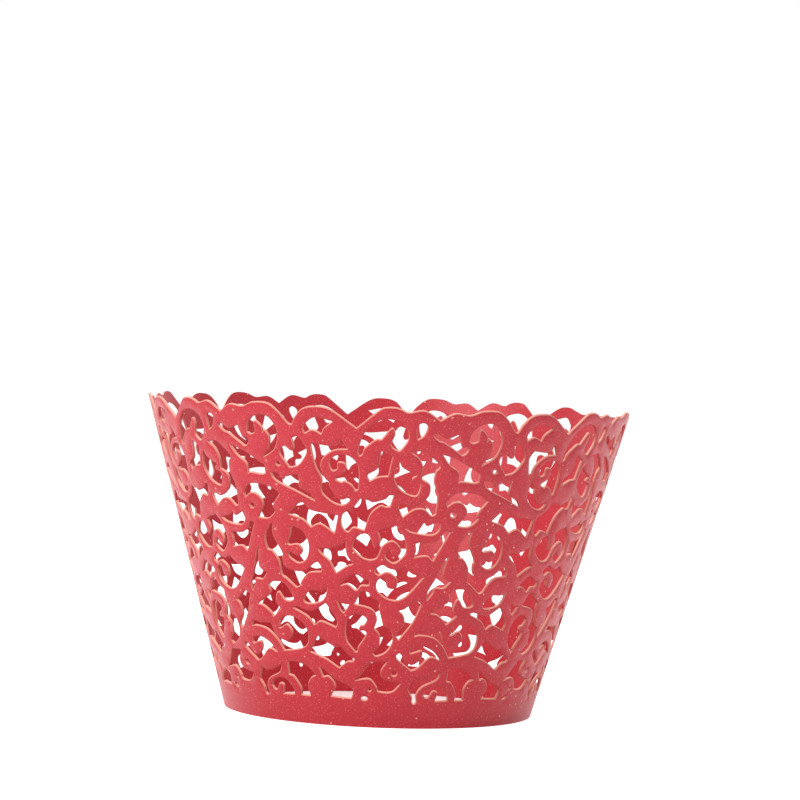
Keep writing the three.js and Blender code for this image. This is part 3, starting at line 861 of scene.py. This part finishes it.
def cut_edge():
    """The card's cut edge: its pale core, with painted shade where it faces down and painted light where it
    faces up.
    """
    material, nodes, links, shader = new_material("cut_edge")
    coords = nodes.new("ShaderNodeTexCoord").outputs["Object"]
    cloud = noise(nodes, links, coords, SCORCH_SIZE, SCORCH_DETAIL)
    core = blend_colours(nodes, links, cloud, EDGE_WARM, EDGE_PALE)
    # Painted light and shade: facing down turns the edge dark red, and facing up shows its pale core in full.
    facing = nodes.new("ShaderNodeSeparateXYZ")
    links.new(nodes.new("ShaderNodeNewGeometry").outputs["Normal"], facing.inputs["Vector"])
    painted_top_light = nodes.new("ShaderNodeMapRange")
    painted_top_light.inputs["From Min"].default_value = PAINTED_SHADE_FACING
    painted_top_light.inputs["From Max"].default_value = LIT_CORE_FACING
    links.new(facing.outputs["Z"], painted_top_light.inputs["Value"])
    colour = blend_colours(nodes, links, painted_top_light.outputs["Result"], EDGE_PAINTED_SHADE, core)
    links.new(colour, shader.inputs["Base Color"])
    shader.inputs["Roughness"].default_value = EDGE_ROUGHNESS
    return material


def make_wrapper():
    wrapper = bpy.data.objects.new("pearl_wrapper", wrapper_mesh())
    bpy.context.scene.collection.objects.link(wrapper)
    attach(wrapper, "root")
    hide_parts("wrapper")


def seen_directly(nodes, links):
    """1 for what is seen straight on, in a reflection or through glass, and 0 for light on things."""
    path = nodes.new("ShaderNodeLightPath")
    mirrored = nodes.new("ShaderNodeMath")
    mirrored.operation = "MAXIMUM"
    links.new(path.outputs["Is Glossy Ray"], mirrored.inputs[0])
    links.new(path.outputs["Is Transmission Ray"], mirrored.inputs[1])
    either = nodes.new("ShaderNodeMath")
    either.operation = "MAXIMUM"
    links.new(path.outputs["Is Camera Ray"], either.inputs[0])
    links.new(mirrored.outputs[0], either.inputs[1])
    return either.outputs[0]


def make_floor():
    """A floor that reads as white around the wrapper and keeps the shadow and red glow inside its foot."""
    half = FLOOR_SIZE / 2
    mesh = bpy.data.meshes.new("floor")
    corners = [(-half, -half), (half, -half), (half, half), (-half, half)]
    mesh.from_pydata([(x, y, -FLOOR_DROP) for x, y in corners], [], [(0, 1, 2, 3)])
    floor = bpy.data.objects.new("floor", mesh)
    bpy.context.scene.collection.objects.link(floor)
    material, nodes, links, shader = new_material("floor_white")
    shader.inputs["Base Color"].default_value = FLOOR_COLOUR
    shader.inputs["Roughness"].default_value = FLOOR_ROUGHNESS
    shader.inputs["Specular IOR Level"].default_value = 0.0
    from_axis = nodes.new("ShaderNodeVectorMath")
    from_axis.operation = "LENGTH"
    links.new(nodes.new("ShaderNodeTexCoord").outputs["Object"], from_axis.inputs[0])
    outward = nodes.new("ShaderNodeMapRange")
    outward.inputs["From Min"].default_value = FOOT_RADIUS - CARD_THICKNESS
    outward.inputs["From Max"].default_value = FOOT_RADIUS
    outward.inputs["To Min"].default_value = FLOOR_LIFT_INSIDE
    outward.inputs["To Max"].default_value = FLOOR_LIFT
    links.new(from_axis.outputs["Value"], outward.inputs["Value"])
    lift = nodes.new("ShaderNodeMath")
    lift.operation = "MULTIPLY"
    links.new(outward.outputs["Result"], lift.inputs[1])
    links.new(seen_directly(nodes, links), lift.inputs[0])
    shader.inputs["Emission Color"].default_value = WHITE
    links.new(lift.outputs[0], shader.inputs["Emission Strength"])
    mesh.materials.append(material)


def make_world():
    """White to the camera and in reflections, and a plain soft level on the object."""
    world = bpy.data.worlds.new("studio")
    world.use_nodes = True
    bpy.context.scene.world = world
    nodes = world.node_tree.nodes
    links = world.node_tree.links
    background = nodes["Background"]
    background.inputs["Color"].default_value = WHITE
    strength = nodes.new("ShaderNodeMath")
    strength.operation = "MAXIMUM"
    strength.inputs[1].default_value = AMBIENT
    links.new(seen_directly(nodes, links), strength.inputs[0])
    links.new(strength.outputs[0], background.inputs["Strength"])


def add_area_light(name, place, size, watts):
    """A square light that faces the middle of the wrapper."""
    lamp = bpy.data.lights.new(name, "AREA")
    lamp.shape = "SQUARE"
    lamp.size = size
    lamp.energy = watts
    light = bpy.data.objects.new(name, lamp)
    bpy.context.scene.collection.objects.link(light)
    light.location = place
    target = Vector((0.0, 0.0, HEIGHT / 2))
    light.rotation_euler = (target - place).to_track_quat("-Z", "Y").to_euler()


def make_lights():
    add_area_light("key", KEY_PLACE, KEY_SIZE, KEY_WATTS)
    add_area_light("top", TOP_PLACE, TOP_SIZE, TOP_WATTS)
    add_area_light("fill", FILL_PLACE, FILL_SIZE, FILL_WATTS)


def make_camera():
    """The photograph's viewpoint: close to level, with the camera rolled a little."""
    data = bpy.data.cameras.new("camera")
    data.lens = CAMERA_LENS
    data.sensor_width = CAMERA_SENSOR
    data.clip_start = CAMERA_CLIP_START
    camera = bpy.data.objects.new("camera", data)
    bpy.context.scene.collection.objects.link(camera)
    aim = Matrix.Rotation(math.pi / 2 - CAMERA_PITCH, 4, "X") @ Matrix.Rotation(CAMERA_ROLL, 4, "Z")
    camera.matrix_world = Matrix.Translation(CAMERA_PLACE) @ aim
    bpy.context.scene.camera = camera


make_camera()
make_wrapper()
make_floor()
make_world()
make_lights()
bpy.context.scene.view_settings.view_transform = "Standard"

bpy.context.view_layer.update()
